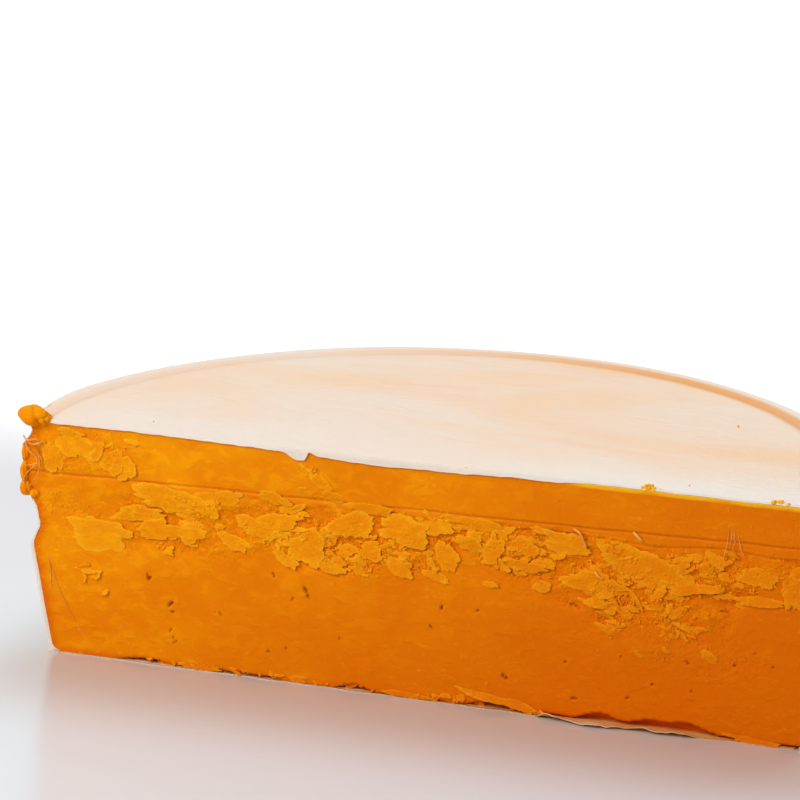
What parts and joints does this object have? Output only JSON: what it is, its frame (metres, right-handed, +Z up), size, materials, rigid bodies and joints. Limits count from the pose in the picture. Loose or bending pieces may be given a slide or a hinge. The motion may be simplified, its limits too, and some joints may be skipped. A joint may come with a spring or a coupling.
{
  "type": "half cheddar wheel",
  "caption": "Half of a low orange cheddar wheel with a pale bandaged rind, resting on its flat base, its torn, flaky cut face to the front.",
  "frame": {"origin": "on the surface the cheese rests on, under the middle of the half wheel's box", "axes": "+X along the knife cut towards the sound end, +Y away from the cut face into the wheel, +Z up through the wheel's height"},
  "size_m": [0.3531, 0.1853, 0.1034],
  "materials": {
    "cheese": "moist, slightly waxy orange cheese, smooth where cut and crumbly where torn",
    "rind": "thin pale waxed cheesecloth, translucent and glossy"
  },
  "bodies": {
    "root": {"cheese": "cheese"}
  },
  "joints": []
}
